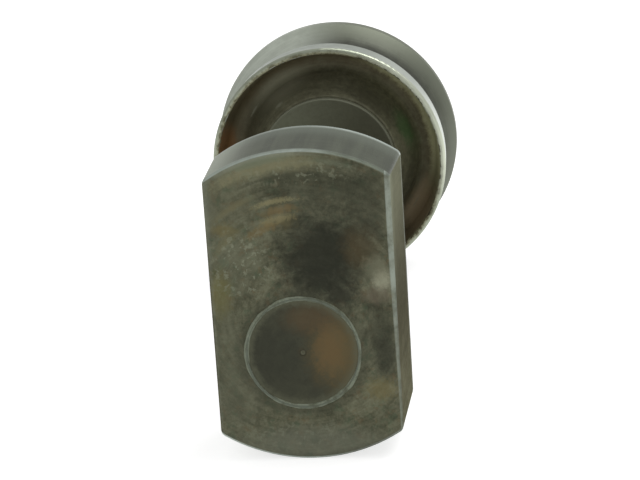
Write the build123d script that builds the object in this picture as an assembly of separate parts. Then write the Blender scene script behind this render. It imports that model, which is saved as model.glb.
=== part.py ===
"""Flanged stud-type cam follower with an off-centre stud and a staked head.

Frame: Y runs along the stud, from the head (-Y) to the roller (+Y). Z is up, along the head's
long side. The origin is the middle of the stud's ground shank, on the shank's axis.
All sizes are in millimetres.
"""
import os
from math import acos, cos, hypot, radians, sin, sqrt, tan

from build123d import *

# ---------------------------------------------------------------- driving sizes
# stud, shank axis
shank_r = 6.0            # ground shank, gripped by the lever
shank_len = 37.5
shank_relief = 0.4       # depth of the grinding reliefs at both ends of the shank
head_relief_len = 1.5
neck_len = 3.0           # relief between the shank and the off-centre shoulder
spigot_r = 5.0           # staked end in the head

# off-centre roller axis
ecc = 5.0                # distance from the shank axis to the roller axis
ecc_angle = 118.9        # direction of that offset, from +X towards +Z, degrees

# head: round top and bottom, with two drafted flats between
head_t = 10.0
head_arc_r = 14.85       # ground rim, top and bottom arcs
head_height = 28.7
head_drop = 10.15        # rim below the shank axis
head_shift = 0.3         # centre line of the head beside the shank axis
head_width = 16.5        # across the flats at the front face
head_draft = 0.4         # each flank stands out this much more at the back
head_corner_r = 0.7
head_edge = 0.2          # broken edges of the rim, front and back
flat_edge = 0.42         # wider broken edges along the flats
stake_depth = 0.25       # countersink that the staked rim fills
stake_bead_r = 0.13      # half-round bead raised round the staked end
centre_mark_r = 0.32

# shoulder of the stud on the roller axis
shoulder_r = 7.6
shoulder_t = 1.0
shoulder_proud = 1.0     # shoulder face in front of the roller's lip

# roller
lip_r = 13.06
lip_wall = 0.64          # lip width at its front edge
land_len = 4.0
land_taper = 0.15
land_round = 0.5         # rear edge of the land
groove_r = 12.05         # smallest radius of the groove
flange_r = 13.83
flange_front = 11.15     # start of the flange land behind the lip
flange_len = 1.25
roller_len = 13.0
lip_round = 0.3          # outer front edge of the lip
groove_entry = 1.1       # slope behind the land, along the axis
groove_round = 1.6
cone_rise = 0.25         # fall of the groove before its last rise to the flange
cone_len = 2.6           # length of that last rise
cone_round = 3.4
dish_depth = 4.2         # front recess
dish_round = 1.1         # floor of the recess into the lip
hub_r = 7.75             # hub beside the stud's shoulder
hub_gap = 0.15           # hub face behind the shoulder
hub_flare = 2.3          # hub is this much wider at the floor of the recess
hub_round = 0.9          # hub into that floor
rear_relief = 0.75       # shallow rear recess
rear_relief_r = 9.2

# needle bearing
needle_n = 12
needle_r = 0.85
needle_len = 7.4
needle_play = 0.02       # radial play on each side of a needle
journal_r = 3.3
sleeve_t = 0.9
cage_t = 0.9
cage_rim = 0.55          # cage end ring beyond the needles
window_play = 0.06
seal_r = 6.9             # seal seat in the hub
seal_t = 1.1
washer_t = 0.55
side_gap = 0.1           # axial play at each thrust washer
slip = 0.01              # radial play of parts pushed over one another

# rear closing parts
end_washer_t = 1.2
ring_t = 0.7
ring_reach = 1.45        # retaining ring beyond the journal
ring_ear_r = 0.95
ring_eye_r = 0.42        # plier holes in the ears
ring_gap = 0.9
groove_depth = 0.35
journal_tail = 1.0       # journal beyond the retaining ring
grease_hole_r = 0.9
nipple_seat_r = 1.5
nipple_seat_depth = 3.2
nipple_flange_r = 2.1
nipple_flange_t = 0.6
nipple_neck_r = 1.1
nipple_neck_len = 0.55   # from the flange to the start of the head
nipple_head_r = 1.5
nipple_head_len = 1.25   # from the neck to the tip
nipple_tip_r = 1.35
nipple_bore_r = 0.45

# ---------------------------------------------------------------- derived places
y_shank0 = -shank_len / 2
y_shank1 = shank_len / 2
y_seat = y_shank0 - head_relief_len          # back face of the head
y_face = y_seat - head_t                     # front face of the head
y_shoulder = y_shank1 + neck_len             # front face of the shoulder
y_lip = y_shoulder + shoulder_proud          # front edge of the roller
y_back = y_shoulder + shoulder_t             # rear face of the shoulder

bx = ecc * cos(radians(ecc_angle))
bz = ecc * sin(radians(ecc_angle))

sleeve_r = journal_r + slip + sleeve_t
pitch_r = sleeve_r + needle_play + needle_r
race_r = pitch_r + needle_r + needle_play
y_hub0 = y_back + hub_gap                    # front face of the roller's hub
y_seal0 = y_back + washer_t + 2 * side_gap   # front of the front seal
y_hub1 = y_lip + roller_len - rear_relief    # rear face of the roller's hub
y_mid = (y_seal0 + y_hub1) / 2               # middle of the needle row
y_washer = y_hub1 + washer_t + 2 * side_gap  # front of the end washer
y_ring = y_washer + end_washer_t             # front of the retaining ring's groove
y_end = y_ring + ring_t + 0.1 + journal_tail # end of the journal


# ---------------------------------------------------------------- helpers
def rounded_loop(points):
    """Closed face from (x, y, corner radius) points, corners replaced by tangent arcs."""
    n = len(points)
    ends = []
    for i, (x, y, r) in enumerate(points):
        p = Vector(x, y)
        if r <= 0:
            ends.append((p, None, p))
            continue
        a, b = points[i - 1], points[(i + 1) % n]
        u = (Vector(a[0], a[1]) - p).normalized()
        v = (Vector(b[0], b[1]) - p).normalized()
        half = acos(max(-1, min(1, u.dot(v)))) / 2
        run = r / tan(half)
        middle = (u + v).normalized()
        centre = p + middle * (r / sin(half))
        ends.append((p + u * run, centre - middle * r, p + v * run))
    edges = []
    for i, (start, mid, end) in enumerate(ends):
        if mid is not None:
            edges.append(ThreePointArc(start, mid, end))
        following = ends[(i + 1) % n][0]
        if (following - end).length > 1e-6:
            edges.append(Line(end, following))
    return make_face(Curve() + edges)


def turned(points, axis="shank"):
    """Solid of revolution about the shank or roller axis from (radius, y, corner radius)."""
    solid = revolve(rounded_loop(points), Axis.Y)
    return solid if axis == "shank" else Pos(bx, 0, bz) * solid


def ring(r_in, r_out, y0, y1, edge=0.0):
    """Ring on the roller axis with broken outer edges."""
    return turned([(r_in, y0, 0), (r_out, y0, edge), (r_out, y1, edge), (r_in, y1, 0)], "roller")


def bar(r, y0, y1, axis="shank"):
    """Plain cylinder along Y."""
    return turned([(0, y0, 0), (r, y0, 0), (r, y1, 0), (0, y1, 0)], axis)


def across(r, y, length):
    """Cylinder along Z through the roller axis, for cross holes."""
    return Pos(bx, y, bz) * Cylinder(r, length)


# ---------------------------------------------------------------- head
def make_head():
    z_bottom = -head_drop
    z_top = z_bottom + head_height
    half = head_width / 2
    reach = half + head_draft + head_corner_r
    rise = head_arc_r - sqrt(head_arc_r ** 2 - reach ** 2)
    left, right = head_shift - reach, head_shift + reach
    outline = [
        ThreePointArc((left, z_bottom + rise), (head_shift, z_bottom), (right, z_bottom + rise)),
        Line((right, z_bottom + rise), (right, z_top - rise)),
        ThreePointArc((right, z_top - rise), (head_shift, z_top), (left, z_top - rise)),
        Line((left, z_top - rise), (left, z_bottom + rise))]
    slab = extrude(Plane.XZ.offset(-y_face) * make_face(outline), -head_t)
    plan = make_face(Polyline(
        (head_shift - half, y_face), (head_shift + half, y_face),
        (head_shift + half + head_draft, y_seat), (head_shift - half - head_draft, y_seat),
        close=True))
    flanks = Pos(0, 0, z_bottom - head_t) * extrude(plan, head_height + 2 * head_t)
    body = slab & flanks
    middle = (y_face + y_seat) / 2
    corners = body.edges().filter_by(
        lambda e: e.geom_type != GeomType.CIRCLE and abs(e.center().Y - middle) < 0.1)
    body = fillet(corners, head_corner_r)
    for y in (y_face, y_seat):
        for straight, width in ((True, flat_edge), (False, head_edge)):
            loop = body.edges().filter_by(
                lambda e: abs(e.center().Y - y) < 1e-4
                and straight == (e.geom_type == GeomType.LINE))
            body = chamfer(loop, width)
    bore = bar(spigot_r + slip, y_face - 1, y_seat + 1)
    cone = turned([(0, y_face, 0), (spigot_r + slip + stake_depth, y_face, 0),
                   (spigot_r + slip, y_face + stake_depth, 0), (0, y_face + stake_depth, 0)])
    return body - bore - cone


# ---------------------------------------------------------------- stud
def make_stud():
    neck_r = shank_r - shank_relief
    crisp = 0.25
    front = turned([
        (0, y_face + centre_mark_r, 0), (centre_mark_r, y_face, 0),
        (spigot_r + stake_depth, y_face, 0), (spigot_r, y_face + stake_depth, 0),
        (spigot_r, y_seat, 0), (neck_r, y_seat, 0),
        (neck_r, y_shank0 - crisp, 0), (shank_r, y_shank0, 0),
        (shank_r, y_shank1, 0), (neck_r, y_shank1 + crisp, 0),
        (neck_r, y_shoulder, 0), (0, y_shoulder, 0)])
    rear = turned([
        (0, y_shoulder, 0), (shoulder_r, y_shoulder, 0.2), (shoulder_r, y_back, 0.2),
        (journal_r, y_back, 0), (journal_r, y_ring, 0),
        (journal_r - groove_depth, y_ring, 0), (journal_r - groove_depth, y_ring + ring_t + 0.1, 0),
        (journal_r, y_ring + ring_t + 0.1, 0), (journal_r, y_end - 0.4, 0),
        (journal_r - 0.4, y_end, 0), (0, y_end, 0)], "roller")
    bead = Pos(0, y_face, 0) * Rot(X=90) * Torus(
        spigot_r + stake_depth - 1.5 * stake_bead_r, stake_bead_r)
    body = front + rear + bead
    feed = bar(grease_hole_r, y_mid - grease_hole_r, y_end + 1, "roller")
    seat = bar(nipple_seat_r, y_end - nipple_seat_depth, y_end + 1, "roller")
    cross = across(grease_hole_r * 0.8, y_mid, 4 * journal_r)
    return body - feed - seat - cross


# ---------------------------------------------------------------- roller
def make_roller():
    lip_in = lip_r - lip_wall
    seat0 = y_seal0 + seal_t
    seat1 = y_hub1 - seal_t
    floor = y_lip + dish_depth
    rear = y_lip + roller_len
    land_r = lip_r - land_taper
    return turned([
        (race_r, seat0, 0), (seal_r, seat0, 0), (seal_r, y_hub0, 0),
        (hub_r, y_hub0, 0.2), (hub_r + hub_flare, floor, hub_round),
        (lip_in - lip_wall, floor, dish_round), (lip_in, y_lip, 0.16),
        (lip_r, y_lip, lip_round), (land_r, y_lip + land_len, land_round),
        (groove_r, y_lip + land_len + groove_entry, groove_round),
        (groove_r + cone_rise, y_lip + flange_front - cone_len, cone_round),
        (flange_r, y_lip + flange_front, 0.35), (flange_r, y_lip + flange_front + flange_len, 0.3),
        (flange_r - 0.7, rear, 0.2), (rear_relief_r, rear, 0.15), (rear_relief_r - 0.3, y_hub1, 0.3),
        (seal_r, y_hub1, 0), (seal_r, seat1, 0), (race_r, seat1, 0)], "roller")


# ---------------------------------------------------------------- needle bearing
def make_sleeve():
    body = ring(journal_r + slip, sleeve_r, y_back + 0.02, y_washer - 0.02, 0.12)
    return body - across(grease_hole_r * 0.8, y_mid, 4 * sleeve_r)


def needle_places():
    for k in range(needle_n):
        a = radians(360 * (k + 0.5) / needle_n)
        yield bx + pitch_r * cos(a), bz + pitch_r * sin(a)


def make_needle(x, z):
    crown = 0.15
    body = revolve(rounded_loop([
        (0, -needle_len / 2, 0), (needle_r, -needle_len / 2, crown),
        (needle_r, needle_len / 2, crown), (0, needle_len / 2, 0)]), Axis.Y)
    return Pos(x, y_mid, z) * body


def make_cage():
    half = needle_len / 2 + window_play + cage_rim
    body = ring(pitch_r - cage_t / 2, pitch_r + cage_t / 2, y_mid - half, y_mid + half)
    for x, z in needle_places():
        body -= Pos(x, y_mid, z) * Rot(X=90) * Cylinder(
            needle_r + window_play, needle_len + 2 * window_play)
    return body


def make_seal(y0, y1):
    """Pressed seal ring with a raised inner lip, clear of the sleeve."""
    inner = sleeve_r + 0.08
    mid = (y0 + y1) / 2
    return turned([
        (seal_r - slip, y0 + 0.03, 0.1), (seal_r - slip, y1 - 0.03, 0.1),
        (inner + 0.7, y1 - 0.03, 0.1), (inner, mid + 0.18, 0.1), (inner, mid - 0.18, 0.1),
        (inner + 0.7, y0 + 0.03, 0.1)], "roller")


# ---------------------------------------------------------------- rear closing parts
def make_retaining_ring():
    y0 = y_ring + 0.05
    y1 = y0 + ring_t
    r_in = journal_r - groove_depth + 0.04
    r_out = journal_r + ring_reach
    body = ring(r_in, r_out, y0, y1)
    ear_x = ring_ear_r + ring_gap / 4
    ear_z = -(r_in + r_out) / 2 - ring_gap / 4
    for side in (-1, 1):
        ear = Pos(bx + side * ear_x, (y0 + y1) / 2, bz + ear_z) * Rot(X=90)
        body += ear * Cylinder(ring_ear_r, ring_t)
    for side in (-1, 1):
        ear = Pos(bx + side * ear_x, (y0 + y1) / 2, bz + ear_z) * Rot(X=90)
        body -= ear * Cylinder(ring_eye_r, 2 * ring_t)
    gap = Pos(bx, (y0 + y1) / 2, bz - r_out) * Box(ring_gap, 2 * ring_t, 2 * (r_out - 0.2))
    return body - gap - bar(r_in, y0 - 1, y1 + 1, "roller")


def make_nipple():
    """Drive-in grease nipple: barbed body, flange and a small domed head."""
    inner = y_end - nipple_seat_depth + 0.2
    seat = y_end + 0.02
    neck = seat + nipple_flange_t
    head = neck + nipple_neck_len
    tip = head + nipple_head_len
    return turned([
        (nipple_bore_r, inner, 0), (nipple_seat_r - slip, inner, 0.3),
        (nipple_seat_r - slip, seat, 0), (nipple_flange_r, seat, 0.1),
        (nipple_flange_r, neck, 0.1), (nipple_neck_r, neck, 0.15), (nipple_neck_r, head, 0.2),
        (nipple_head_r, head + nipple_head_len / 3, 0.3), (nipple_tip_r, tip - 0.15, 0.3),
        (nipple_bore_r, tip, 0)], "roller")


parts = {
    "head": make_head(),
    "stud": make_stud(),
    "roller": make_roller(),
    "inner_sleeve": make_sleeve(),
    "needle_cage": make_cage(),
    "front_thrust_washer": ring(sleeve_r + side_gap, seal_r - side_gap, y_back + side_gap,
                                y_back + side_gap + washer_t, 0.08),
    "rear_thrust_washer": ring(sleeve_r + side_gap, seal_r + 0.3, y_hub1 + side_gap,
                               y_hub1 + side_gap + washer_t, 0.08),
    "front_seal": make_seal(y_seal0, y_seal0 + seal_t),
    "rear_seal": make_seal(y_hub1 - seal_t, y_hub1),
    "end_washer": ring(journal_r + slip, shoulder_r, y_washer, y_washer + end_washer_t, 0.25),
    "retaining_ring": make_retaining_ring(),
    "grease_nipple": make_nipple(),
}
for number, (x, z) in enumerate(needle_places(), 1):
    parts[f"needle_{number:02d}"] = make_needle(x, z)

os.makedirs("parts", exist_ok=True)
for name, shape in parts.items():
    export_step(shape, f"parts/{name}.step")
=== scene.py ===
import math
import random

import bmesh
import bpy
from mathutils import Matrix, Vector


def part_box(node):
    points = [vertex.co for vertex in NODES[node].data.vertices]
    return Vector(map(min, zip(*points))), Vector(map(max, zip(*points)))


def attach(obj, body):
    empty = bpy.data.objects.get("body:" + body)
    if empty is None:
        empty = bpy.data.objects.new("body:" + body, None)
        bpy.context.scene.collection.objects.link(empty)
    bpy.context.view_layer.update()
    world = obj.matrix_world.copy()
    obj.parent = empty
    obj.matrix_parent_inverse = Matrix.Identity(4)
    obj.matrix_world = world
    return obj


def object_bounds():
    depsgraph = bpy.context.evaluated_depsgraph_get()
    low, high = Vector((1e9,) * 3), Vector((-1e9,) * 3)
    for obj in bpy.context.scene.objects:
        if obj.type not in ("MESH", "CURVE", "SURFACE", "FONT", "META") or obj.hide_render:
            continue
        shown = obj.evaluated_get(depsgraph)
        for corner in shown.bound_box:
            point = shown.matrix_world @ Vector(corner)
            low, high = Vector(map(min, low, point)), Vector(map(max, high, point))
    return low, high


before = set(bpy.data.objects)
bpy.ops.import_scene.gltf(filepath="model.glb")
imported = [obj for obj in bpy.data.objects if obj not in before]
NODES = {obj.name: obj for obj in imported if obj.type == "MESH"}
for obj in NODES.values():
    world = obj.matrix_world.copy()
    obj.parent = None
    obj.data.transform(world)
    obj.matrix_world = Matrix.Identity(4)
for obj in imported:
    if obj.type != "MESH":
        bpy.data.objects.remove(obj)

MM = 0.001
CAD_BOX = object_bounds()


def box_mm(node):
    low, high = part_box(node)
    return Vector(low) / MM, Vector(high) / MM


# ------------------------------------------------------------ places, in mm
# the head: a disc cut by two flats, its front face towards -Y
HEAD_LOW, HEAD_HIGH = box_mm("head")
HEAD_X = (HEAD_LOW.x + HEAD_HIGH.x) / 2
Y_FACE, Y_SEAT = HEAD_LOW.y, HEAD_HIGH.y
HEAD_ARC = 14.85
Z_ARC_TOP = HEAD_HIGH.z - HEAD_ARC
Z_ARC_LOW = HEAD_LOW.z + HEAD_ARC
FLAT_HALF = 8.25
STAKE_R = 5.0
# the roller, on its own axis, and the stud's off-centre shoulder in front of it
ROLL_LOW, ROLL_HIGH = box_mm("roller")
AXIS_X = (ROLL_LOW.x + ROLL_HIGH.x) / 2
AXIS_Z = (ROLL_LOW.z + ROLL_HIGH.z) / 2
Y_LIP = ROLL_LOW.y
LIP_R = 13.06
SHOULDER_R = 7.6
SHOULDER_Y = Y_LIP - 1.0
# the uneven ring raised round the stud's end: each size and how far it wanders
BEAD_R, BEAD_R_SWING = STAKE_R + 0.07, 0.035
BEAD_HALF, BEAD_HALF_SWING = 0.20, 0.06
BEAD_TALL, BEAD_TALL_SWING = 0.105, 0.03
BEAD_TALLEST = 0.126
BEAD_SUNK = 0.03
BEAD_STEPS, BEAD_ACROSS = 360, 9
BEAD_WAVES = (2, 3, 5, 8, 11, 17, 23, 31)
FLOOR_GAP = 0.02
# a soft mark is full up to the first share of its half size and gone at the second
MARK_FULL, MARK_GONE = 0.25, 1.1


def srgb(r, g, b):
    """Linear colour from the usual 0 to 255 values."""
    def one(c):
        c /= 255
        return c / 12.92 if c <= 0.04045 else ((c + 0.055) / 1.055) ** 2.4
    return one(r), one(g), one(b), 1.0


# ------------------------------------------------------------ node helper
class Paint:
    """A material of procedural nodes. Places are object space in mm, so each piece's
    colours ride on it, and masks are values from 0 to 1."""

    def __init__(self, name):
        self.mat = bpy.data.materials.new(name)
        self.mat.use_nodes = True
        self.tree = self.mat.node_tree
        self.tree.nodes.clear()
        out = self.add("ShaderNodeOutputMaterial")
        self.bsdf = self.add("ShaderNodeBsdfPrincipled")
        self.link(self.bsdf.outputs[0], out.inputs[0])
        in_mm = self.add("ShaderNodeVectorMath")
        in_mm.operation = "SCALE"
        in_mm.inputs["Scale"].default_value = 1 / MM
        self.link(self.add("ShaderNodeTexCoord").outputs["Object"], in_mm.inputs[0])
        self.pos = in_mm.outputs[0]
        parts = self.add("ShaderNodeSeparateXYZ")
        self.link(self.pos, parts.inputs[0])
        self.x, self.y, self.z = parts.outputs

    def add(self, kind):
        return self.tree.nodes.new(kind)

    def link(self, a, b):
        self.tree.links.new(a, b)

    def feed(self, value, socket):
        """Link a node's output to a socket, or set the socket to a plain value."""
        if isinstance(value, bpy.types.NodeSocket):
            self.link(value, socket)
        else:
            socket.default_value = value

    # numbers
    def math(self, op, a, b=0.0, c=0.0):
        n = self.add("ShaderNodeMath")
        n.operation = op
        for value, socket in zip((a, b, c), n.inputs):
            self.feed(value, socket)
        return n.outputs[0]

    def times(self, a, b):
        return self.math("MULTIPLY", a, b)

    def minus(self, a, b):
        return self.math("SUBTRACT", a, b)

    def length(self, a, b):
        return self.math("SQRT", self.math("ADD", self.times(a, a), self.times(b, b)))

    def blend(self, fac, a, b):
        """Numbers a to b by fac."""
        return self.math("MULTIPLY_ADD", fac, self.minus(b, a), a)

    def weigh(self, *pairs):
        """Sum of values times weights."""
        total = 0.0
        for value, weight in pairs:
            total = self.math("MULTIPLY_ADD", value, weight, total)
        return total

    def radius(self, x, z):
        """Distance from an axis along Y."""
        return self.length(self.minus(self.x, x), self.minus(self.z, z))

    def angle(self, x, z):
        """Angle about an axis along Y, from +X towards +Z."""
        return self.math("ARCTAN2", self.minus(self.z, z), self.minus(self.x, x))

    # textures
    def noise(self, vec, scale, detail=3.0, rough=0.6, warp=0.0):
        n = self.add("ShaderNodeTexNoise")
        self.feed(vec, n.inputs["Vector"])
        n.inputs["Scale"].default_value = scale
        n.inputs["Detail"].default_value = detail
        n.inputs["Roughness"].default_value = rough
        n.inputs["Distortion"].default_value = warp
        return n.outputs["Fac"]

    def streaks(self, a, b, c, detail=3.0, rough=0.6):
        """Noise over three values: fine along those that are scaled up, long along the rest."""
        n = self.add("ShaderNodeCombineXYZ")
        for value, socket in zip((a, b, c), n.inputs):
            self.feed(value, socket)
        return self.noise(n.outputs[0], 1.0, detail=detail, rough=rough)

    # masks
    def span(self, value, low, high):
        """0 at low, 1 at high, smooth between; low may be the larger one."""
        n = self.add("ShaderNodeMapRange")
        n.interpolation_type = "SMOOTHSTEP"
        self.feed(value, n.inputs["Value"])
        n.inputs["From Min"].default_value = low
        n.inputs["From Max"].default_value = high
        return n.outputs[0]

    def flip(self, mask):
        return self.minus(1.0, mask)

    def all(self, *masks):
        total = masks[0]
        for m in masks[1:]:
            total = self.times(total, m)
        return total

    def any(self, *masks):
        total = masks[0]
        for m in masks[1:]:
            total = self.math("MAXIMUM", total, m)
        return total

    def belt(self, value, rise, fall):
        """Comes in over the range rise and goes out over the range fall."""
        return self.all(self.span(value, *rise), self.flip(self.span(value, *fall)))

    def towards(self, angle, middle, gone, full):
        """1 where an angle is within full of a middle angle, 0 beyond gone, in radians."""
        return self.span(self.math("ABSOLUTE", self.minus(angle, middle)), gone, full)

    def oval(self, a, b, ragged=None, amount=0.0):
        """Soft patch over two values, each given with its middle and its half size. A noise
        can fray its edge."""
        shares = [self.math("DIVIDE", self.minus(value, middle), half)
                  for value, middle, half in (a, b)]
        away = self.length(*shares)
        if ragged is not None:
            away = self.math("MULTIPLY_ADD", self.minus(ragged, 0.5), amount * 2, away)
        return self.flip(self.span(away, MARK_FULL, MARK_GONE))

    def spot(self, x, z, half_x, half_z, ragged=None, amount=0.0):
        """Soft oval on a face square to Y."""
        return self.oval((self.x, x, half_x), (self.z, z, half_z), ragged, amount)

    # colours
    def mix(self, fac, a, b):
        n = self.add("ShaderNodeMix")
        n.data_type = "RGBA"
        self.feed(fac, n.inputs["Factor"])
        self.feed(a, n.inputs[6])
        self.feed(b, n.inputs[7])
        return n.outputs[2]

    def lay(self, colour, tint, *masks):
        """Lay a tint over a colour where all the masks hold; a plain number is a strength."""
        return self.mix(self.all(*masks), colour, srgb(*tint))

    def marked(self, colour, marks, noises, x0=0.0, z0=0.0):
        """Lay a table of soft spots over a colour, placed from x0 and z0."""
        for x, z, half_x, half_z, strength, tint, ragged, amount in marks:
            mask = self.spot(x0 + x, z0 + z, half_x, half_z, noises[ragged], amount)
            colour = self.lay(colour, tint, mask, strength)
        return colour

    def arcs(self, colour, marks, noises, r, angle):
        """Lay a table of soft arcs about an axis over a colour."""
        for radius, half, middle, reach, strength, tint, ragged, amount in marks:
            mask = self.oval((r, radius, half), (angle, math.radians(middle), math.radians(reach)),
                             noises[ragged], amount)
            colour = self.lay(colour, tint, mask, strength)
        return colour

    def finish(self, colour, rough, metallic, height, depth, gloss=0.5):
        """Feed the shader; height times depth in mm is the relief."""
        self.feed(gloss, self.bsdf.inputs["Specular IOR Level"])
        self.feed(colour, self.bsdf.inputs["Base Color"])
        self.feed(rough, self.bsdf.inputs["Roughness"])
        self.feed(metallic, self.bsdf.inputs["Metallic"])
        bump = self.add("ShaderNodeBump")
        bump.inputs["Distance"].default_value = depth * MM
        self.feed(height, bump.inputs["Height"])
        self.link(bump.outputs[0], self.bsdf.inputs["Normal"])
        return self.mat


def oxide_noises(p, r, angle, cloud, mottle, blotch, grit, rings):
    """The noises that the tables of marks call by name, coarse to fine. The first three are
    given as scale and warp, and rings, the turning marks, as scale across and along the arc."""
    across, along = rings
    return {"cloud": p.noise(p.pos, cloud[0], detail=5.0, rough=0.60, warp=cloud[1]),
            "mottle": p.noise(p.pos, mottle[0], detail=5.0, rough=0.65, warp=mottle[1]),
            "blotch": p.noise(p.pos, blotch[0], detail=5.0, rough=0.72, warp=blotch[1]),
            "grit": p.noise(p.pos, grit, detail=4.0, rough=0.70),
            "rings": p.streaks(p.times(r, across), p.times(angle, along), p.times(p.y, 0.05),
                               detail=4.0, rough=0.62)}


# ------------------------------------------------------------ head
# The tables give worn and stained places, and a painted reflection, on faces square to Y, in mm.
# Marks:
# x, z, half width, half height, strength, colour, which noise frays the edge, how much.
# Arcs, here about the axis of the head's top arc: radius, half width, middle and half
# angle in degrees, then the same four.
HEAD_MARKS = (
    # painted reflection: the first mark, the large dark patch above the stud, is the camera's dark
    # reflection in the face
    (2.2, 9.1, 5.3, 5.9, 0.92, (38, 40, 28), "mottle", 0.42),
    (6.2, 14.2, 4.2, 3.8, 0.55, (56, 57, 42), "mottle", 0.45),
    (6.9, 2.3, 1.9, 3.4, 0.62, (52, 54, 40), "mottle", 0.45),
    (-5.6, 13.4, 3.6, 3.0, 0.30, (108, 109, 86), "cloud", 0.30),
    (-6.2, 9.4, 1.7, 2.1, 0.30, (130, 133, 110), "blotch", 0.95),
    (-4.2, 8.4, 1.4, 1.8, 0.30, (130, 133, 110), "blotch", 0.95),
    (-5.4, 6.6, 1.5, 1.4, 0.30, (128, 130, 106), "blotch", 0.95),
    (-7.1, 5.6, 1.4, 2.8, 0.62, (124, 120, 76), "blotch", 0.70),
    (-6.4, 11.6, 1.4, 0.8, 0.60, (130, 120, 80), "blotch", 0.80),
    (5.7, 9.6, 2.0, 2.5, 0.62, (92, 80, 54), "blotch", 0.55),
    (7.4, 6.5, 1.1, 1.3, 0.90, (168, 168, 144), "grit", 0.45),
    (6.9, 7.6, 1.5, 1.7, 0.55, (136, 136, 112), "blotch", 0.80),
    (6.9, 5.2, 1.7, 1.0, 0.50, (122, 112, 94), "rings", 0.75),
    (2.0, 15.2, 6.2, 2.7, 0.55, (56, 58, 43), "mottle", 0.35),
    (6.6, 11.4, 2.0, 3.0, 0.40, (58, 59, 45), "mottle", 0.40),
    (-1.2, 12.4, 1.9, 1.2, 0.42, (126, 118, 84), "blotch", 1.00),
    (2.2, 6.9, 4.6, 1.8, 0.60, (40, 42, 30), "blotch", 0.40),
    (3.9, 5.2, 2.1, 1.4, 0.75, (44, 45, 33), "blotch", 0.40),
    (7.4, -0.4, 1.6, 3.1, 0.70, (44, 46, 34), "mottle", 0.35),
    (-6.6, 0.2, 1.5, 5.4, 0.45, (106, 108, 88), "blotch", 0.50),
    (-8.0, 14.0, 1.3, 4.6, 0.50, (122, 124, 104), "blotch", 0.50),
    (6.8, -3.6, 1.8, 1.4, 0.65, (124, 116, 78), "grit", 0.95),
    (-2.6, -4.6, 2.6, 1.6, 0.30, (66, 68, 52), "mottle", 0.50),
    (-6.0, -4.4, 2.8, 4.0, 0.40, (112, 114, 94), "cloud", 0.35),
    (0.0, -8.6, 8.2, 2.2, 0.60, (122, 125, 108), "cloud", 0.30),
)
HEAD_ARCS = (
    (13.8, 1.10, 101, 27, 0.72, (148, 145, 112), "blotch", 0.80),
    (14.5, 0.30, 104, 24, 0.60, (158, 164, 144), "blotch", 0.35),
    (10.5, 0.32, 101, 14, 0.66, (154, 147, 108), "grit", 1.10),
    (9.7, 0.50, 99, 13, 0.58, (130, 112, 76), "blotch", 1.10),
    (8.9, 0.45, 103, 13, 0.62, (150, 142, 104), "blotch", 1.20),
    (8.4, 0.50, 113, 13, 0.60, (130, 114, 76), "blotch", 1.10),
    (11.4, 0.40, 120, 13, 0.55, (124, 118, 86), "blotch", 0.80),
    (9.4, 0.50, 132, 14, 0.45, (122, 118, 84), "blotch", 0.85),
    (14.2, 0.40, 104, 15, 0.70, (126, 134, 110), "blotch", 0.80),
    (14.0, 0.35, 76, 12, 0.45, (114, 121, 100), "blotch", 0.80),
    (12.6, 0.50, 92, 24, 0.40, (60, 61, 45), "rings", 0.60),
)


def head_oxide(p, tone):
    """Dark oxide with green, brown and pale patches."""
    green = p.span(p.noise(p.pos, 1.1, detail=5.0, rough=0.7, warp=0.3), 0.52, 0.66)
    brown = p.span(p.noise(p.pos, 1.4, detail=5.0, rough=0.7, warp=0.3), 0.54, 0.68)
    pale = p.span(p.noise(p.pos, 2.6), 0.45, 0.70)
    colour = p.mix(tone, srgb(72, 73, 54), srgb(128, 129, 104))
    colour = p.lay(colour, (76, 96, 72), green, 0.46)
    colour = p.lay(colour, (112, 93, 64), brown, 0.42)
    return p.lay(colour, (132, 131, 106), pale, 0.24)


def head_front(p, oxide, noises, r_top, angle, r_pin):
    """Front face: stains and worn arcs, a painted dark reflection, small bright flecks, and a
    painted shade ring round the stud.
    """
    colour = p.marked(oxide, HEAD_MARKS, noises)
    colour = p.arcs(colour, HEAD_ARCS, noises, r_top, angle)
    fleck = p.span(p.noise(p.pos, 2.1, rough=0.55, warp=0.3), 0.54, 0.66)
    flecked = p.any(p.spot(-4.9, 8.4, 3.6, 4.4),
                    p.times(p.spot(0.5, 16.5, 7.0, 1.6), 0.6),
                    p.times(p.spot(-1.0, -7.6, 8.0, 2.6), 0.35))
    colour = p.lay(colour, (148, 152, 128), fleck, flecked, 0.75)
    # painted shade: a dark ring in the gap just outside the stud's staked end
    painted_gap_shade = p.belt(r_pin, (STAKE_R + 0.1, STAKE_R + 0.3), (STAKE_R + 0.5, STAKE_R + 1.5))
    return p.lay(colour, (46, 48, 36), painted_gap_shade, 0.38)


def head_back(p, oxide, noises, r_pin):
    """Back face: plain oxide, rubbed in a ring where it rests on the lever's boss."""
    rubbed = p.all(p.belt(r_pin, (6.4, 7.0), (9.6, 11.0)), p.span(noises["mottle"], 0.42, 0.62))
    return p.lay(oxide, (128, 130, 116), rubbed, 0.55)


def head_rim(p, r_rim, angle, aside):
    """Ground top and bottom: fine lines along the arc, lighter at the rear and the left end."""
    lines = p.streaks(p.times(angle, 3.0), p.times(p.y, 7.0), r_rim)
    bands = p.streaks(p.times(angle, 16.0), p.times(p.y, 0.06), 0.0)
    tone = p.span(p.weigh((lines, 0.35), (bands, 0.65)), 0.3, 0.7)
    colour = p.mix(tone, srgb(72, 77, 63), srgb(95, 101, 84))
    colour = p.lay(colour, (112, 120, 106), p.span(p.y, Y_SEAT - 5.0, Y_SEAT - 1.2), 0.75)
    return p.lay(colour, (166, 173, 156), p.flip(p.span(aside, -8.6, -3.4)))


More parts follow.
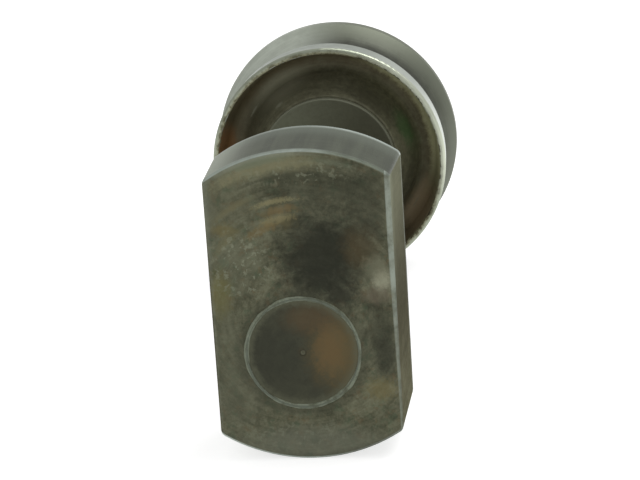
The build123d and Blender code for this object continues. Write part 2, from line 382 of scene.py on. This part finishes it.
def head_flank(p, tone, noises):
    """Flats: dark oxide, darker and browner at mid height and paler towards the top."""
    colour = p.mix(tone, srgb(84, 82, 60), srgb(124, 122, 96))
    brown_patch = p.spot(0.0, 5.0, 40.0, 9.5, noises["cloud"], 0.15)
    colour = p.lay(colour, (62, 57, 40), brown_patch, 0.55)
    near_front = p.flip(p.span(p.y, Y_FACE + 0.4, Y_FACE + 3.0))
    return p.lay(colour, (154, 158, 136), p.span(p.z, 2.0, 16.0), p.blend(near_front, 0.35, 0.80))


def head_edges(p, rim, flank, aside, noises):
    """Edges worn bare, with painted edge highlights: their mask and their colour. Those of the
    ground rim are the brightest, more so towards the right.
    """
    wear = p.span(p.noise(p.pos, 0.9, detail=4.0, rough=0.7), 0.30, 0.62)
    rightward = p.span(aside, 0.0, 4.5)
    upward = p.span(p.z, -8.0, 12.0)

    rim_front = p.all(p.flip(p.span(p.y, Y_FACE + 0.20, Y_FACE + 0.90)),
                      p.blend(rightward, 1.0, 0.30))
    rim_back = p.all(p.span(p.y, Y_SEAT - 1.50, Y_SEAT - 0.60), p.blend(rightward, 0.8, 1.0))
    rim_edge = p.all(rim, p.any(rim_front, rim_back))

    out = p.math("ADD", p.math("ABSOLUTE", aside), p.blend(upward, 0.20, 0.48))
    flat_front = p.all(p.span(out, FLAT_HALF - 0.02, FLAT_HALF + 0.08),
                       p.flip(p.span(p.y, Y_FACE + 0.40, Y_FACE + 0.62)),
                       p.blend(p.span(aside, -1.0, 1.0), 0.12, 1.0),
                       p.blend(upward, 0.55, 1.0))
    flat_back = p.all(flank, p.span(p.y, Y_SEAT - 1.6, Y_SEAT - 0.5))
    # painted glint on the right flat's front edge
    glint = p.all(p.spot(HEAD_X + FLAT_HALF, 6.6, 1.2, 1.9, noises["grit"], 0.4),
                  p.span(aside, 7.0, 7.6))

    edge = p.any(p.times(rim_edge, p.blend(wear, 0.75, 1.0)),
                 p.times(flat_front, p.any(p.blend(wear, 0.40, 0.88), glint)),
                 p.times(flat_back, p.blend(wear, 0.15, 0.55)))
    # painted highlight: the rim's edges are brighter towards the right
    bright = p.all(rim_edge, p.blend(rightward, 0.6, 1.0))
    return edge, p.mix(bright, srgb(150, 158, 146), srgb(196, 207, 198))


def head_paint():
    p = Paint("oxidised_head")
    r_top, angle = p.radius(HEAD_X, Z_ARC_TOP), p.angle(HEAD_X, Z_ARC_TOP)
    r_rim = p.math("MAXIMUM", r_top, p.radius(HEAD_X, Z_ARC_LOW))
    r_pin = p.radius(0.0, 0.0)
    aside = p.minus(p.x, HEAD_X)
    noises = oxide_noises(p, r_top, angle, cloud=(0.16, 0.6), mottle=(0.62, 0.4),
                          blotch=(1.9, 0.5), grit=4.5, rings=(2.4, 1.6))
    tone = p.weigh((noises["cloud"], 0.26), (noises["mottle"], 0.25), (noises["blotch"], 0.28),
                   (noises["rings"], 0.24), (noises["grit"], 0.12))
    tone = p.span(tone, 0.43, 0.73)

    rim = p.span(r_rim, HEAD_ARC - 0.26, HEAD_ARC - 0.16)
    flank = p.all(p.span(p.math("ABSOLUTE", aside), FLAT_HALF - 0.12, FLAT_HALF - 0.04),
                  p.flip(rim))
    back = p.span(p.y, Y_SEAT - 0.8, Y_SEAT - 0.4)
    oxide = head_oxide(p, tone)
    colour = p.mix(back, head_front(p, oxide, noises, r_top, angle, r_pin),
                   head_back(p, oxide, noises, r_pin))
    colour = p.mix(rim, colour, head_rim(p, r_rim, angle, aside))
    colour = p.mix(flank, colour, head_flank(p, tone, noises))
    # edges worn bare, with painted edge highlights
    edge, bare_and_highlight = head_edges(p, rim, flank, aside, noises)
    colour = p.mix(edge, colour, bare_and_highlight)

    rough = p.blend(rim, p.blend(tone, 0.64, 0.52), 0.46)
    rough = p.blend(edge, p.blend(flank, rough, 0.85), 0.40)
    metal = p.blend(p.any(rim, edge), p.blend(flank, 0.30, 0.0), 0.65)
    gloss = p.blend(flank, 0.28, 0.06)
    height = p.weigh((noises["rings"], 0.9), (noises["grit"], 0.5))
    return p.finish(colour, rough, metal, height, 0.03, gloss)


# ------------------------------------------------------------ stud
STUD_MARKS = (
    (-2.2, -0.6, 3.4, 4.6, 0.70, (58, 60, 47), "cloud", 0.25),
    (3.0, 0.0, 3.2, 4.4, 0.76, (112, 98, 64), "blotch", 0.45),
    (2.4, 0.2, 1.6, 2.8, 0.40, (122, 96, 60), "blotch", 0.70),
    (0.8, 3.2, 3.0, 1.8, 0.60, (98, 82, 56), "blotch", 0.45),
    (0.2, -3.6, 3.4, 1.0, 0.35, (70, 72, 56), "mottle", 0.35),
)


def stud_end(p, r, tone, noises):
    """Staked end: stained dark, with a light centre mark and a paler border at its edge."""
    colour = p.mix(tone, srgb(56, 57, 44), srgb(76, 77, 60))
    colour = p.marked(colour, STUD_MARKS, noises)
    colour = p.lay(colour, (146, 146, 124), p.flip(p.span(r, 0.14, 0.28)), 0.8)
    border = p.span(p.weigh((r, 1.0), (noises["blotch"], 0.8)), STAKE_R - 0.5, STAKE_R + 0.4)
    colour = p.lay(colour, (112, 114, 92), border, 0.55)
    bead = p.span(r, STAKE_R - 0.08, STAKE_R - 0.02)
    wear_and_highlight = p.blend(p.span(noises["mottle"], 0.35, 0.6), 0.3, 0.9)
    return p.lay(colour, (118, 126, 112), bead, wear_and_highlight)


def stud_shank(p, lines, noises):
    """Ground shank, browned in patches."""
    tone = p.weigh((lines, 0.5), (noises["cloud"], 0.5))
    colour = p.mix(tone, srgb(92, 92, 80), srgb(140, 140, 127))
    brown_patch = p.span(p.noise(p.pos, 0.35, detail=5.0, rough=0.65), 0.50, 0.66)
    return p.lay(colour, (84, 72, 54), brown_patch, 0.5)


def stud_shoulder(p, tone):
    """Off-centre shoulder against the roller: dark oxide with a thin light line at its edge."""
    rightward = p.span(p.minus(p.x, AXIS_X), -6.0, 6.0)
    colour = p.mix(rightward, srgb(108, 111, 92), srgb(80, 81, 64))
    colour = p.lay(colour, (60, 58, 45), tone, 0.35)
    edge = p.span(p.radius(AXIS_X, AXIS_Z), SHOULDER_R - 0.14, SHOULDER_R - 0.06)
    return p.lay(colour, (128, 130, 112), edge, 0.7)


def stud_paint():
    p = Paint("stud_steel")
    r, angle = p.radius(0.0, 0.0), p.angle(0.0, 0.0)
    noises = oxide_noises(p, r, angle, cloud=(0.22, 0.5), mottle=(0.9, 0.0),
                          blotch=(1.6, 0.5), grit=5.0, rings=(3.0, 1.2))
    tone = p.span(p.weigh((noises["cloud"], 0.3), (noises["blotch"], 0.45),
                          (noises["rings"], 0.25)), 0.38, 0.66)
    lines = p.streaks(p.times(angle, 0.5), p.times(p.y, 9.0), 0.0)
    end = p.flip(p.span(p.y, Y_FACE + 0.30, Y_FACE + 0.45))
    shoulder = p.span(p.y, SHOULDER_Y - 0.12, SHOULDER_Y - 0.04)
    colour = p.mix(shoulder, stud_shank(p, lines, noises), stud_shoulder(p, tone))
    colour = p.mix(end, colour, stud_end(p, r, tone, noises))

    dark = p.any(end, shoulder)
    rough = p.blend(dark, p.blend(noises["cloud"], 0.28, 0.42), 0.58)
    metal = p.blend(dark, 0.85, 0.3)
    height = p.weigh((p.blend(end, lines, noises["rings"]), 0.8), (noises["grit"], 0.4))
    return p.finish(colour, rough, metal, height, 0.02, gloss=0.3)


# ------------------------------------------------------------ roller
# marks and arcs are placed from the roller's axis; they hold stains, a painted shade and painted
# green reflections
ROLLER_MARKS = (
    (-11.9, 1.6, 1.5, 4.6, 0.80, (158, 118, 78), "blotch", 0.40),
    (-9.6, 3.6, 2.2, 3.6, 0.30, (120, 116, 94), "blotch", 0.45),
    # painted reflection: the green mark on the dish's right wall
    (9.4, 1.4, 0.9, 2.2, 0.20, (84, 112, 74), "mottle", 0.60),
)
ROLLER_ARCS = (
    # painted reflection: the green arc on the dish's right wall
    (9.1, 0.75, 22, 17, 0.55, (74, 118, 68), "blotch", 0.60),
    # painted shade: the dark arc at the upper right inside the dish
    (8.6, 1.40, 52, 36, 0.60, (62, 61, 46), "blotch", 0.40),
    (10.0, 1.60, 124, 26, 0.75, (150, 149, 126), "blotch", 0.40),
    (11.4, 1.80, -33, 22, 0.80, (170, 152, 122), "blotch", 0.40),
    (10.2, 0.16, 147, 6, 0.80, (150, 152, 132), "grit", 0.50),
    (8.5, 0.18, 129, 5, 0.75, (146, 148, 128), "grit", 0.50),
    (9.5, 0.14, 118, 4, 0.45, (130, 132, 112), "grit", 0.50),
    (10.9, 0.12, -32, 5, 0.50, (130, 132, 112), "grit", 0.50),
)


def roller_dish(p, r, angle, deep, tone, upper_right_highlight, noises):
    """Dished front and recessed rear: dark oxide, browner outwards. The stains, a painted shade,
    painted green reflections, and the wear and painted highlight beside the lip are on the front
    alone."""
    outward = p.span(r, 9.6, 12.0)
    plain = p.mix(tone, srgb(86, 85, 65), srgb(122, 121, 98))
    plain = p.lay(plain, (108, 96, 70), outward, p.blend(noises["mottle"], 0.35, 1.0))
    front = p.marked(plain, ROLLER_MARKS, noises, AXIS_X, AXIS_Z)
    front = p.arcs(front, ROLLER_ARCS, noises, r, angle)
    # wear and a painted highlight inside the lip at the upper right
    wear_and_highlight = p.all(upper_right_highlight, p.span(p.weigh((r, 1.0), (noises["blotch"], 0.9)), 11.3, 12.1))
    front = p.lay(front, (206, 206, 164), wear_and_highlight, 0.85)
    return p.mix(p.span(deep, 6.0, 7.0), front, plain)


def roller_groove(p, angle, deep, lines, noises):
    """Groove and flange: painted shade behind the land, lighter towards the flange, and a painted
    glow at the upper left.
    """
    # painted glow of the white surroundings at the flange's upper left
    upper_left_glow = p.towards(angle, 2.30, 0.90, 0.30)
    streaky = p.span(p.weigh((lines, 0.4), (noises["mottle"], 0.6)), 0.35, 0.65)
    # painted shade: dark just behind the land, lighter out towards the flange
    colour = p.mix(p.span(deep, 6.8, 12.0), srgb(34, 35, 26), srgb(128, 133, 117))
    colour = p.lay(colour, (202, 209, 196), upper_left_glow, 0.9)
    return p.lay(colour, (122, 126, 112), streaky, 0.3)


def roller_lip(p, colour, r, deep, lines, upper_right_highlight, noises):
    """Lip laid over a colour: a bright land that fades over the rounded front edge into the dish,
    with a painted highlight on land and edge at the upper right. Also gives the mask of what
    shines."""
    land = p.all(p.span(r, LIP_R - 0.40, LIP_R - 0.16), p.flip(p.span(deep, 3.7, 4.3)))
    polish = p.span(p.weigh((lines, 0.5), (noises["mottle"], 0.5)), 0.3, 0.7)
    # the land is lighter where polished, with a painted highlight at the upper right
    bright = p.any(p.times(polish, 0.7), upper_right_highlight)
    colour = p.mix(p.times(land, 0.92), colour,
                   p.mix(bright, srgb(166, 174, 163), srgb(224, 231, 221)))

    chip = p.span(p.noise(p.pos, 1.3, detail=4.0, rough=0.7), 0.38, 0.62)
    frayed = p.weigh((r, 1.0), (p.minus(chip, 0.5), 0.22))
    front = p.all(p.flip(p.span(deep, 0.25, 0.5)), p.span(frayed, LIP_R - 0.68, LIP_R - 0.56))
    fade = p.span(frayed, LIP_R - 0.62, LIP_R - 0.10)
    edge = p.mix(fade, p.mix(chip, srgb(92, 88, 62), srgb(164, 162, 130)), srgb(160, 166, 148))
    # painted highlight on the lip's front edge at the upper right
    edge = p.lay(edge, (222, 228, 208), upper_right_highlight, 0.8)
    return p.mix(front, colour, edge), p.any(land, p.times(front, fade))


def roller_paint():
    p = Paint("worn_roller")
    r, angle = p.radius(AXIS_X, AXIS_Z), p.angle(AXIS_X, AXIS_Z)
    deep = p.minus(p.y, Y_LIP)
    noises = oxide_noises(p, r, angle, cloud=(0.18, 0.6), mottle=(0.7, 0.3),
                          blotch=(1.5, 0.4), grit=5.0, rings=(2.6, 1.0))
    tone = p.span(p.weigh((noises["cloud"], 0.3), (noises["blotch"], 0.4),
                          (noises["rings"], 0.3)), 0.36, 0.66)
    lines = p.streaks(p.times(angle, 0.8), p.times(p.y, 6.0), p.times(r, 6.0))
    # painted highlight on the lip at the upper right
    upper_right_highlight = p.towards(angle, 0.46, 0.95, 0.38)

    inside = p.flip(p.span(r, LIP_R - 1.15, LIP_R - 1.05))
    behind_lip = p.all(p.flip(p.span(deep, 4.4, 4.6)),
                       p.flip(p.span(r, LIP_R - 0.66, LIP_R - 0.58)))
    dished = p.any(inside, behind_lip)
    colour = p.mix(dished, roller_groove(p, angle, deep, lines, noises),
                   roller_dish(p, r, angle, deep, tone, upper_right_highlight, noises))
    colour, shine = roller_lip(p, colour, r, deep, lines, upper_right_highlight, noises)

    rough = p.blend(dished, 0.48, p.blend(tone, 0.66, 0.54))
    rough = p.blend(shine, rough, 0.34)
    metal = p.blend(shine, p.blend(dished, 0.45, 0.2), 0.8)
    height = p.weigh((noises["rings"], 0.8), (noises["grit"], 0.4))
    return p.finish(colour, rough, metal, height, 0.02, gloss=0.3)


# ------------------------------------------------------------ smaller pieces
def plain_steel(name, dark, light, rough, metal, stain=0.3):
    """Turned or ground steel with fine lines round the roller's axis and light staining."""
    p = Paint(name)
    r, angle = p.radius(AXIS_X, AXIS_Z), p.angle(AXIS_X, AXIS_Z)
    lines = p.streaks(p.times(r, 9.0), p.times(angle, 0.8), p.times(p.y, 9.0))
    cloud = p.noise(p.pos, 0.5, detail=5.0, rough=0.65, warp=0.4)
    tone = p.math("ADD", p.times(lines, 0.5), p.times(cloud, 0.5))
    colour = p.mix(p.span(tone, 0.3, 0.7), srgb(*dark), srgb(*light))
    spots = p.span(p.noise(p.pos, 1.4, detail=4.0, rough=0.7), 0.55, 0.7)
    colour = p.lay(colour, (86, 68, 46), spots, stain)
    return p.finish(colour, p.blend(cloud, rough - 0.06, rough + 0.08), metal, lines, 0.012)


def rubber_paint():
    p = Paint("seal_rubber")
    cloud = p.noise(p.pos, 1.2, detail=4.0)
    grain = p.noise(p.pos, 14.0)
    colour = p.mix(cloud, srgb(22, 22, 21), srgb(46, 45, 42))
    return p.finish(colour, p.blend(cloud, 0.50, 0.72), 0.0, grain, 0.012)


def dress(material, *nodes):
    """Give CAD nodes a material in place of their packed one."""
    for node in nodes:
        materials = NODES[node].data.materials
        for i in range(len(materials)):
            materials[i] = material


NEEDLES = [node for node in NODES if node.startswith("needle_") and node != "needle_cage"]
dress(head_paint(), "head")
dress(stud_paint(), "stud")
dress(roller_paint(), "roller")
dress(plain_steel("bearing_steel", (150, 150, 146), (205, 205, 200), 0.24, 0.95, stain=0.08),
      "inner_sleeve", "front_thrust_washer", "rear_thrust_washer", *NEEDLES)
dress(plain_steel("cage_steel", (112, 106, 92), (160, 154, 138), 0.38, 0.9), "needle_cage")
dress(rubber_paint(), "front_seal", "rear_seal")
dress(plain_steel("washer_steel", (76, 73, 60), (126, 122, 106), 0.40, 0.8), "end_washer")
dress(plain_steel("ring_steel", (38, 38, 38), (72, 72, 70), 0.36, 0.8, stain=0.15),
      "retaining_ring")
dress(plain_steel("nipple_steel", (128, 122, 98), (176, 170, 146), 0.36, 0.9), "grease_nipple")


# ------------------------------------------------------------ bead round the staked end
def wandering(mean, swing, seed):
    """Values for the steps of a closed ring that wander unevenly about a mean: a sum of
    waves, each with its count round the ring, where it starts and its weight."""
    rng = random.Random(seed)
    waves = [(count, rng.uniform(0, 2 * math.pi), rng.uniform(0.5, 1.0) / count ** 0.55)
             for count in BEAD_WAVES]
    full = sum(weight for _, _, weight in waves) * 0.5
    values = []
    for i in range(BEAD_STEPS):
        sway = sum(weight * math.sin(count * 2 * math.pi * i / BEAD_STEPS + start)
                   for count, start, weight in waves) / full
        values.append(mean + swing * sway)
    return values


def bead_paint():
    """Matt staked metal, lighter in patches and at the left, darker at the upper right."""
    p = Paint("staked_bead")
    grit = p.noise(p.pos, 6.0)
    patch = p.span(p.noise(p.pos, 0.9, detail=4.0, rough=0.65), 0.34, 0.60)
    patch = p.any(patch, p.times(p.flip(p.span(p.x, -4.8, -2.4)), 0.8))
    darker = p.spot(2.6, 4.4, 3.4, 2.4)
    patch = p.times(patch, p.blend(darker, 1.0, 0.25))
    colour = p.mix(patch, srgb(104, 108, 88), srgb(150, 158, 138))
    colour = p.lay(colour, (166, 176, 160), p.span(grit, 0.5, 0.7), 0.30)
    return p.finish(colour, 0.70, 0.05, grit, 0.03, gloss=0.2)


def bead_mesh():
    """Closed ring whose section is a half oval on the head's face, sunk a little into it."""
    middles = wandering(BEAD_R, BEAD_R_SWING, seed=3)
    halves = wandering(BEAD_HALF, BEAD_HALF_SWING, seed=5)
    crests = wandering(BEAD_TALL, BEAD_TALL_SWING, seed=9)
    bm = bmesh.new()
    rows = []
    for i, (middle, half, crest) in enumerate(zip(middles, halves, crests)):
        turn = 2 * math.pi * i / BEAD_STEPS
        tall = min(BEAD_TALLEST, crest)
        row = []
        for j in range(BEAD_ACROSS):
            over = math.pi * j / (BEAD_ACROSS - 1)
            r = middle - half * math.cos(over)
            y = Y_FACE + BEAD_SUNK - (tall + BEAD_SUNK) * math.sin(over)
            row.append(bm.verts.new((r * math.cos(turn) * MM, y * MM, r * math.sin(turn) * MM)))
        rows.append(row)
    for i in range(BEAD_STEPS):
        a, b = rows[i], rows[(i + 1) % BEAD_STEPS]
        for j in range(BEAD_ACROSS):
            k = (j + 1) % BEAD_ACROSS
            bm.faces.new((a[j], a[k], b[k], b[j]))
    bmesh.ops.recalc_face_normals(bm, faces=bm.faces)
    mesh = bpy.data.meshes.new("stake_bead")
    bm.to_mesh(mesh)
    bm.free()
    mesh.shade_smooth()
    return mesh


def add_object(name, data):
    thing = bpy.data.objects.new(name, data)
    bpy.context.scene.collection.objects.link(thing)
    return thing


def stake_bead():
    """Uneven ring of metal raised round the stud's end by staking."""
    mesh = bead_mesh()
    mesh.materials.append(bead_paint())
    piece = add_object("stake_bead", mesh)
    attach(piece, "stud_body")


stake_bead()

# ------------------------------------------------------------ floor and light
# places and sizes here are in metres
FLOOR_HALF = 3.0
FLOOR_TONE = 0.62
FLOOR_GLOW = 0.72
WORLD_LIGHT, WORLD_SEEN = 0.55, 1.0
LAMP_AT = Vector((0.22, 0.12, 0.55))
LAMP_SIZE, LAMP_POWER = 0.45, 1.6


def floor_paint():
    """Pale matt floor with an even glow that only the camera and reflections see."""
    mat = bpy.data.materials.new("pale_floor")
    mat.use_nodes = True
    add, link = mat.node_tree.nodes.new, mat.node_tree.links.new
    mat.node_tree.nodes.clear()
    out = add("ShaderNodeOutputMaterial")
    matt = add("ShaderNodeBsdfDiffuse")
    matt.inputs[0].default_value = (FLOOR_TONE, FLOOR_TONE, FLOOR_TONE, 1)
    glow = add("ShaderNodeEmission")
    glow.inputs[0].default_value = (1, 1, 1, 1)
    ray = add("ShaderNodeLightPath")
    seen = add("ShaderNodeMath")
    seen.operation, seen.use_clamp = "ADD", True
    link(ray.outputs["Is Camera Ray"], seen.inputs[0])
    link(ray.outputs["Is Glossy Ray"], seen.inputs[1])
    level = add("ShaderNodeMath")
    level.operation = "MULTIPLY"
    level.inputs[1].default_value = FLOOR_GLOW
    link(seen.outputs[0], level.inputs[0])
    link(level.outputs[0], glow.inputs[1])
    both = add("ShaderNodeAddShader")
    link(matt.outputs[0], both.inputs[0])
    link(glow.outputs[0], both.inputs[1])
    link(both.outputs[0], out.inputs[0])
    return mat


def make_floor():
    mesh = bpy.data.meshes.new("floor")
    z = CAD_BOX[0].z - FLOOR_GAP * MM
    corners = [(-1, -1), (1, -1), (1, 1), (-1, 1)]
    mesh.from_pydata([(x * FLOOR_HALF, y * FLOOR_HALF, z) for x, y in corners], [],
                     [(0, 1, 2, 3)])
    mesh.materials.append(floor_paint())
    add_object("floor", mesh)


def make_world():
    """White surroundings, less strong as a light than as the camera sees them."""
    world = bpy.data.worlds.new("studio")
    bpy.context.scene.world = world
    world.use_nodes = True
    tree = world.node_tree
    back = tree.nodes["Background"]
    ray = tree.nodes.new("ShaderNodeLightPath")
    level = tree.nodes.new("ShaderNodeMapRange")
    level.inputs["To Min"].default_value = WORLD_LIGHT
    level.inputs["To Max"].default_value = WORLD_SEEN
    tree.links.new(ray.outputs["Is Camera Ray"], level.inputs["Value"])
    back.inputs[0].default_value = (1, 1, 1, 1)
    tree.links.new(level.outputs[0], back.inputs[1])


def make_lamp():
    """Soft round lamp from above, aimed at the part's origin."""
    data = bpy.data.lights.new("top_lamp", "AREA")
    data.shape, data.size, data.energy = "DISK", LAMP_SIZE, LAMP_POWER
    lamp = add_object("top_lamp", data)
    lamp.location = LAMP_AT
    lamp.rotation_euler = (-LAMP_AT).to_track_quat("-Z", "Y").to_euler()
    lamp.visible_camera = False


make_floor()
make_world()
make_lamp()

# ------------------------------------------------------------ camera
CAMERA_AT = Vector((23.592, -214.814, 61.882)) * MM
CAMERA_AIM = Vector((2.182, -30.250, 10.378)) * MM
CAMERA_ROLL = math.radians(-3.711)
LENS, SENSOR = 123.75, 36.0
CLIP_NEAR, CLIP_FAR = 0.01, 10.0


def make_camera():
    data = bpy.data.cameras.new("camera")
    data.lens, data.sensor_width = LENS, SENSOR
    data.clip_start, data.clip_end = CLIP_NEAR, CLIP_FAR
    camera = add_object("camera", data)
    ahead = (CAMERA_AIM - CAMERA_AT).normalized()
    level = ahead.cross(Vector((0, 0, 1))).normalized()
    upright = level.cross(ahead)
    right = level * math.cos(CAMERA_ROLL) + upright * math.sin(CAMERA_ROLL)
    up = upright * math.cos(CAMERA_ROLL) - level * math.sin(CAMERA_ROLL)
    turn = Matrix((right, up, -ahead)).transposed().to_4x4()
    camera.matrix_world = Matrix.Translation(CAMERA_AT) @ turn
    bpy.context.scene.camera = camera


make_camera()
bpy.context.scene.view_settings.view_transform = "Standard"
